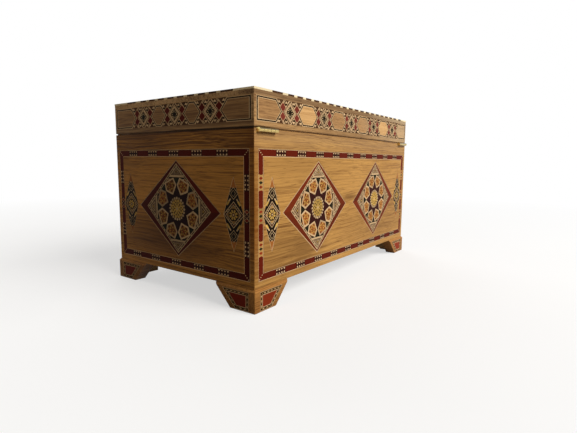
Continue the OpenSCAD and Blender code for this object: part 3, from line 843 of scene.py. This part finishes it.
def band_cell(mosaic, x, y, half, gem):
    limits = oblong(CELL_HALF + 0.4, half)
    put = mosaic.at(x, y, limits=limits)
    put(limits, "brown", 1)
    for s in (1, -1):
        for across, line, wood in ((12.8, 0.95, "bone"), (12.8, 0.2, "brown"),
                                   (7.65, 0.5, "bone")):
            for middle in (-across, across):
                high = half + 1
                lean = s * high * LINE_SLOPE
                a, b = middle - line, middle + line
                put([(a - lean, -high), (b - lean, -high), (b + lean, high), (a + lean, high)],
                    wood, 2 + (wood == "brown"))
    # small triangles of brown, bone and black along both edges
    for a in (-11.8, -4.1, 4.1, 11.8):
        for s in (1, -1):
            for across, base, tip, wood, layer in ((1.9, 2.1, 0.0, "brown", 4),
                                                   (1.5, 2.0, 0.4, "bone", 5),
                                                   (1.4, 2.2, 3.5, "black", 5)):
                put([(a - across, s * (half - base)), (a + across, s * (half - base)),
                     (a, s * (half - tip))], wood, layer)
    for sx, sy in CORNERS:
        put(rhomb(3.45, 3.45, sx * 7.7, sy * 2.8), "bone", 6)
        put(rhomb(3.0, 3.0, sx * 7.7, sy * 2.8), gem, 7)
    for k, (r, wood) in enumerate(((6.7, "brown"), (6.2, "bone"), (5.35, "brown"),
                                   (5.0, "bone"), (4.25, "brown"))):
        put(rhomb(r, r * 1.03), wood, 8 + k)
    put(round_form(16, 3.1), "green", 13)
    for k in range(10):
        put(sliver(1.3, 2.75, 36 * k, 7), "bone", 14)
    put(round_form(10, 1.45), "black", 15)


def cartouche(mosaic, x0, x1, tips, y, half, wood):
    """A plain panel from x0 to x1; tips says which ends are pointed."""
    slant = math.hypot(1, CELL_SLOPE)

    def outline(inset, square):
        """inset from the long sides and points, square from an upright end."""
        high = half - inset
        left, right = [inset * slant if tip else square for tip in tips]
        left, right = x0 + left, x1 - right
        lean = CELL_SLOPE * high
        flat = (left + lean if tips[0] else left, right - lean if tips[1] else right)
        return ([(flat[0], y - high), (flat[1], y - high)] + [(right, y)] * tips[1]
                + [(flat[1], y + high), (flat[0], y + high)] + [(left, y)] * tips[0])

    for k, (inset, square, kind) in enumerate(((0.0, 0.0, "bone"), (0.35, 0.4, "black"),
                                               (1.15, 1.4, "bone"), (1.48, 1.95, wood))):
        mosaic.tile(outline(inset, square), kind, 7 + k)


PANEL_WALNUT = ((0.43, 0.235, 0.095), (0.20, 0.10, 0.04))
WOODS["panel"] = walnut("cartouche_walnut", "x", (3.1, 1.2, 0.7), *PANEL_WALNUT,
                        # the far end of the back's band is painted paler
                        figure_and_painted_light=(((-125, 71, 125), (110, 40, 40), 0.3, FAR_END_PALE),))
WOODS["panel_end"] = walnut("cartouche_walnut_end", "y", (2.1, 3.2, 0.4), *PANEL_WALNUT)
WOODS["panel_pale"] = walnut("cartouche_pale", "x", (5.1, 2.2, 0.4), (0.72, 0.43, 0.18),
                             (0.50, 0.27, 0.10), 0.1)
for side in SIDES:
    node = f"lid_{side}_band"
    mosaic = on_side(side, node + "_mosaic")
    solids = extents(node, side)
    reach = max(across[1] for across, _ in solids)
    low, high = min(up[0] for _, up in solids), max(up[1] for _, up in solids)
    middle, half = (low + high) / 2, (high - low) / 2
    mosaic.tile(oblong(reach, half, 0, middle), "bone", 0, BACKING)
    count, pitch, gem, plain = LONG_BAND if side in LONG_SIDES else END_BAND
    places = [(k - (count - 1) / 2) * pitch for k in range(count)]
    for x in places:
        band_cell(mosaic, x, middle, half, gem)
    for k, (a, b) in enumerate(zip(places, places[1:])):
        light = side in LONG_SIDES and k in (0, count - 2)
        cartouche(mosaic, a + CELL_WAIST, b - CELL_WAIST, (True, True), middle, half,
                  "panel_pale" if light else plain)
    cartouche(mosaic, -reach, places[0] - CELL_WAIST, (False, True), middle, half, plain)
    cartouche(mosaic, places[-1] + CELL_WAIST, reach, (True, False), middle, half, plain)
    mosaic.piece(node, "lid", "pale_inlay")


# ---- Feet. Bracket boards in walnut, mitred at the corner, their bevelled tops just
# proud of the case; a red panel edged with rods is let into each, and blocks of
# plain softwood are glued in the corners behind them.
BEAD_PITCH = 1.75     # of the rods that edge a panel
FOOT_ARRIS = 0.0006


def foot_panel(made, near, low, top, far_low, far_top, wood):
    slope = (far_top - far_low) / (top - low)

    def outline(inset):
        """The panel's edge, inset in mm square to each side."""
        far = [far_low + slope * (z - low) - inset * math.hypot(1, slope)
               for z in (low + inset, top - inset)]
        return [(near + inset, low + inset), (far[0], low + inset),
                (far[1], top - inset), (near + inset, top - inset)]

    for layer, (inset, kind) in enumerate(((0.0, "bone"), (0.35, "brown"), (2.15, "bone"),
                                           (2.5, wood))):
        made.tile(outline(inset), kind, layer, TILE if layer else BACKING)
    for a, b in edges(outline(1.25)):
        count = round(math.dist(a, b) / BEAD_PITCH)
        for k in range(count):
            made.tile(round_form(4, 0.5, *between(a, b, k / count)),
                      "bone" if k % 2 else "black", 2)
            made.tile(round_form(4, 0.3, *between(a, b, (k + 0.5) / count)), "gold", 2)


def coated(node, finish):
    """Gives its finish to a node that is shown as it is."""
    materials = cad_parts[node].data.materials
    materials.clear()
    materials.append(finish)


foot_low, foot_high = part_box("foot_front_left")[0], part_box("foot_back_right")[1]
foot_high = foot_high + Vector((0, 0, 0.01))
for end, sx in (("right", 1), ("left", -1)):
    for side, sy in (("front", -1), ("back", 1)):
        sawn = walnut(f"foot_{side}_{end}_walnut", "x", (0.9 * sx, 0.6 * sy, 0.2),
                      (0.38, 0.172, 0.045), (0.16, 0.06, 0.013), 0.2)
        eased(f"foot_{side}_{end}", "box", foot_low, foot_high, sawn, FOOT_ARRIS)
        node = f"foot_inlay_{side}_{end}"
        lo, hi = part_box(node)
        outer = max(abs(lo.y), abs(hi.y))
        face = [((case_half.x - abs(v.co.x)) / MM, (v.co.z - case_low) / MM)
                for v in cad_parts[node].data.vertices if abs(abs(v.co.y) - outer) < 1e-5]
        low, top = span(face, 1)
        sizes = (span(face, 0)[0], low, top,
                 max(a for a, z in face if z < low + 0.1), max(a for a, z in face if z > top - 0.1))
        made = Mosaic(node + "_mosaic", (0, 0, 0), (1, 0, 0), (0, 0, 1), (0, 1, 0))
        corner = Vector((sx * case_half.x, sy * case_half.y, case_low))
        for along, out in (((-sx, 0, 0), (0, sy, 0)), ((0, -sy, 0), (sx, 0, 0))):
            made.origin = corner + Vector(out) * (outer - case_half.y)
            made.axes = [Vector(along), Vector((0, 0, 1)), Vector(out)]
            foot_panel(made, *sizes, "red" if out[1] else "maroon")
        made.piece(node, "box", "red_inlay")
softwood = walnut("plain_softwood", "x", (4.0, 2.0, 1.0), (0.68, 0.48, 0.27),
                  (0.50, 0.33, 0.18), 0.1)
coated("foot_glue_blocks", softwood)
coated("bottom_board", softwood)


# ---- Top of the lid. Bevelled mosaic strips run round the edge and a walnut field
# lies between them, with a long star lozenge in its middle.
coated("lid_field", walnut("lid_field_walnut", "x", (2.7, 3.4, 0.2), HONEY, BARK))
lo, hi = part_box("lid_top_lozenge")
top_face = Mosaic("lid_top_lozenge_mosaic", (0, 0, hi.z), (1, 0, 0), (0, 1, 0), (0, 0, 1))
star_lozenge(top_face, 0, 0, hi.x / MM, hi.y / MM)
top_face.piece("lid_top_lozenge", "lid", "red_inlay")

edge_low, edge_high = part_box("lid_edge_front")
EDGE_WIDE = (edge_high.y - edge_low.y) / MM
EDGE_TALL = (edge_high.z - edge_low.z) / MM
EDGE_BEVEL = 2.4                                    # width of the bevel
EDGE_LIP = 1.2                                      # height of the upright edge below it
EDGE_SUNK = 0.1                                     # the blocks end so far under the top
DARK_RUN, PALE_RUN, CORNER_RUN = 6.6, 3.6, 17.0     # lengths of the blocks
NEAR_CORNER, LONGER = 12, 1.6                       # so near a corner they are longer
FLAT_MID = (EDGE_BEVEL + EDGE_WIDE) / 2             # middle of the flat top
BELT_LINE = 0.6                                     # width of the pale lines of its belt
BELT = (EDGE_WIDE - EDGE_BEVEL) / 2 - BELT_LINE     # half the width of the belt
THIN = BELT - BELT_LINE                             # and of the maroon in it
GEM_LENGTH = 13                                     # least length of a gem in the belt


def edge_blocks(made, half):
    """Blocks of pale and dark wood, each the strip's full section, mitred at the ends."""
    top = EDGE_TALL - EDGE_SUNK
    section = [(0, 0), (EDGE_WIDE, 0), (EDGE_WIDE, top), (EDGE_BEVEL, top), (0, EDGE_LIP)]
    x = CORNER_RUN - half
    runs = [(-half, x, "ivory")]
    while x < half - CORNER_RUN - 0.1:
        dark = len(runs) % 2 == 1
        step = min(DARK_RUN if dark else PALE_RUN, half - CORNER_RUN - x)
        if abs(abs(x) - half + CORNER_RUN) < NEAR_CORNER:
            step *= LONGER
        runs.append((x, x + step, "brown" if dark else "ivory"))
        x += step
    runs.append((half - CORNER_RUN, half, "ivory"))
    along, up, out = made.axes
    for near, far, wood in runs:
        for end in (far, near):     # in this order the faces look outwards
            for depth, rise in section:
                place = max(depth - half, min(half - depth, end))
                made.points.append(made.origin + (along * place - out * depth + up * rise) * MM)
        made.close(len(section), wood)


def belt(half, wide):
    """The strip's flat top so far to both sides of its middle, mitred at the ends."""
    near, far = FLAT_MID - wide, FLAT_MID + wide
    near_x, far_x = half - near - BELT_LINE, half - far - BELT_LINE
    return [(-near_x, near), (near_x, near), (far_x, far), (-far_x, far)]


for side in SIDES:
    half = (case_half.x if side in LONG_SIDES else case_half.y) / MM
    made = on_side(side, f"lid_edge_{side}_mosaic")
    made.origin.z = edge_low.z
    edge_blocks(made, half)
    # the rest is drawn on the top, from the outer edge inwards, with tones of its own
    made.origin = made.origin + Vector((0, 0, EDGE_TALL * MM))
    made.axes = [made.axes[0], -made.axes[2], Vector((0, 0, 1))]
    made.random = random.Random("unused")
    made.tile(belt(half, BELT), "bone", 5)
    made.tile(belt(half, THIN), "maroon", 6)
    inner = half - EDGE_WIDE
    count = int(2 * inner // GEM_LENGTH)
    pitch = 2 * inner / count
    for k in range(count):
        x = (k + 0.5) * pitch - inner
        for inset, across, wood, layer in ((0.3, THIN, "bone", 7), (1.3, THIN - 0.8, "black", 8),
                                           (2.2, THIN - 1.5, "amber", 9)):
            made.tile(rhomb(pitch / 2 - inset, across, x, FLAT_MID), wood, layer)
        made.tile(round_form(8, 1.1, x, FLAT_MID), "bone", 10)
    if side in LONG_SIDES:
        for s in (1, -1):
            made.tile(rhomb(THIN * 0.8, THIN * 0.8, s * (half - FLAT_MID), FLAT_MID), "red", 7)
    made.piece(f"lid_edge_{side}", "lid", "pale_inlay")


# ---- Brass fittings. Pressed butt hinges with turned-over knuckles, their pins and
# screws, the lock with its link plate, and the escutcheon, all lightly tarnished.
def metal(name, colour, dull, shine):
    m = Finish(name)
    place = m.place()
    cloud = m.noise(place, (260.0, 260.0, 260.0), 4.0)
    brush = m.noise(place, (300.0, 6000.0, 6000.0))
    stain = cloud.above(0.5, 0.25)
    # painted shade and painted reflection on the parts outside the back, by the way each face
    # points: dark above, a dark line below the middle, a darker underside
    facing = m.add("ShaderNodeTexCoord", {}, {}, "Normal")
    rise, depth = [m.add("ShaderNodeSeparateXYZ", {}, {0: v}, axis)
                   for v, axis in ((facing, "Z"), (place, "Y"))]
    above, below = rise.above(0.1, 0.25), (rise * -1.0).above(0.6, 0.3) * 0.7
    line = ((rise + 0.3).math("ABSOLUTE") * -1.0).above(-0.16, 0.1) * 0.75
    shade_and_reflection = above.math("MAXIMUM", below).math("MAXIMUM", line) * depth.above(case_half.y, 0.0003)
    bare = m.mix(stain * 0.5, colour, dull)
    return m.shade(Base_Color=m.mix(shade_and_reflection * 0.9, bare, [c * 0.3 for c in dull]),
                   Metallic=shade_and_reflection * -0.9 + 1.0, Roughness=stain * 0.2 + brush * 0.1 + shine,
                   Normal=m.bump(brush + cloud, 0.00003, 0.5))


brass = metal("brass", (0.83, 0.62, 0.22), (0.20, 0.145, 0.045), 0.2)
for node in ("hinge_right_body_leaf", "hinge_left_body_leaf", "hinge_right_pin",
             "hinge_left_pin", "lock_case", "escutcheon", "escutcheon_pins",
             "hinge_right_lid_leaf", "hinge_left_lid_leaf", "lock_link_plate"):
    coated(node, brass)
coated("lock_bolt", metal("bolt_steel", (0.56, 0.55, 0.53), (0.30, 0.27, 0.24), 0.3))


def islands(mesh):
    """Lowest and highest corner of each separate solid of a mesh, in order of place."""
    joined = bmesh.new()
    joined.from_mesh(mesh)
    bmesh.ops.remove_doubles(joined, verts=joined.verts, dist=1e-6)
    left = set(joined.verts)
    found = []
    while left:
        group = [left.pop()]
        for vert in group:
            for edge in vert.link_edges:
                other = edge.other_vert(vert)
                if other in left:
                    left.remove(other)
                    group.append(other)
        found.append(tuple(zip(*[span([v.co for v in group], i) for i in range(3)])))
    joined.free()
    return sorted(found, key=lambda solid: [round(c, 5) for c in solid[0]])


screw_brass = metal("screw_brass", (0.86, 0.70, 0.36), (0.34, 0.25, 0.10), 0.22)
SAW_CUT = (0.0034, 0.00042, 0.0006)     # length, width and height of the cut in a screw's head


def slotted(node, body):
    """The screws of that node, with a driver's slot sawn across each head."""
    saw = bmesh.new()
    for count, (low, high) in enumerate(islands(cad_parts[node].data)):
        head = Vector(((low[0] + high[0]) / 2, (low[1] + high[1]) / 2,
                       high[2] if body == "box" else low[2]))
        bmesh.ops.create_cube(saw, size=1.0, matrix=Matrix.Translation(head)
                              @ Matrix.Rotation(0.4 + 1.1 * count, 4, "Z")
                              @ Matrix.Diagonal((*SAW_CUT, 1.0)))
    fitted(carved(node, (saw, "DIFFERENCE")), node + "_slotted", node, body, screw_brass)


slotted("body_leaf_screws", "box")
slotted("lid_leaf_screws", "lid")


# ---- Velvet lining. Cotton velvet on thin padded card, glued to the floor, the
# walls and the inside of the lid, crowned in the middle and soft at its edges.
def velvet(name, colour):
    v = Finish(name)
    place = v.place()
    crush = v.noise(place, (55.0, 55.0, 55.0), 3.0)
    pile = v.noise(place, (2600.0, 2600.0, 2600.0))
    tint = v.mix((crush * 0.7 + pile * 0.4).above(0.3, 0.6), [c * 0.45 for c in colour], colour)
    return v.shade(Base_Color=tint, Roughness=crush * 0.1 + 0.85, Sheen_Weight=0.35,
                   Sheen_Roughness=0.35, Sheen_Tint=(0.9, 0.35, 0.35),
                   Normal=v.bump(pile * 0.5 + crush, 0.0004, 0.5))


red_velvet = velvet("red_velvet", (0.22, 0.012, 0.022))
PAD_MESH = 0.004     # about the length of a pad's faces


def pad(points, faces, low, high, thin, sign, crown, soft):
    """One padded slab, thin along that axis, with its face on that sign's side: the
    face swells by crown and its rim rounds off over soft."""
    u, v = [i for i in range(3) if i != thin]
    rows, cols = [max(8, int((high[i] - low[i]) / PAD_MESH)) for i in (u, v)]
    first = len(points)
    thick = high[thin] - low[thin]

    def ease(t):
        return math.sqrt(max(0.0, 1 - (1 - min(1.0, t)) ** 2))

    for layer in (0, 1):
        for a in range(rows + 1):
            for b in range(cols + 1):
                point = [low[thin] if sign > 0 else high[thin]] * 3
                point[u] = low[u] + (high[u] - low[u]) * a / rows
                point[v] = low[v] + (high[v] - low[v]) * b / cols
                edge = min(min(point[i] - low[i], high[i] - point[i]) for i in (u, v))
                ripple = 0.5 + 0.5 * math.sin(point[u] * 61 + 1.7) * math.sin(point[v] * 53 + 0.6)
                rise = thick * (0.35 + 0.65 * ease(edge / soft)) - crown
                rise += crown * (0.4 + 0.6 * ripple) * ease(edge / (4 * soft))
                point[thin] += sign * rise * layer
                points.append(tuple(point))

    def spot(layer, a, b):
        return first + (layer * (rows + 1) + a) * (cols + 1) + b

    for a in range(rows):
        for b in range(cols):
            quad = [(a, b), (a + 1, b), (a + 1, b + 1), (a, b + 1)]
            faces.append([spot(1, *q) for q in quad])
            faces.append([spot(0, *q) for q in reversed(quad)])
    rim = ([(a, 0) for a in range(rows)] + [(rows, b) for b in range(cols)]
           + [(a, cols) for a in range(rows, 0, -1)] + [(0, b) for b in range(cols, 0, -1)])
    for p, q in edges(rim):
        faces.append([spot(0, *p), spot(0, *q), spot(1, *q), spot(1, *p)])


def lining(node, body, crown, soft):
    points, faces = [], []
    for low, high in islands(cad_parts[node].data):
        size = [h - l for l, h in zip(low, high)]
        thin = size.index(min(size))
        if thin == 2:
            sign = 1 if node == "floor_velvet" else -1
        else:
            sign = -1 if low[thin] + high[thin] > 0 else 1
        pad(points, faces, low, high, thin, sign, crown, soft)
    mesh = bpy.data.meshes.new(node + "_pad")
    mesh.from_pydata(points, [], faces)
    shaped = bmesh.new()
    shaped.from_mesh(mesh)
    bmesh.ops.recalc_face_normals(shaped, faces=shaped.faces)
    shaped.to_mesh(mesh)
    shaped.free()
    mesh.materials.append(red_velvet)
    mesh.shade_smooth()
    dressed(mesh, node + "_pad", node, body)


lining("floor_velvet", "box", 0.0004, 0.003)
lining("wall_velvet", "box", 0.0002, 0.0015)
lining("lid_velvet", "lid", 0.0006, 0.004)
lining("lid_rail_velvet", "lid", 0.0002, 0.0015)
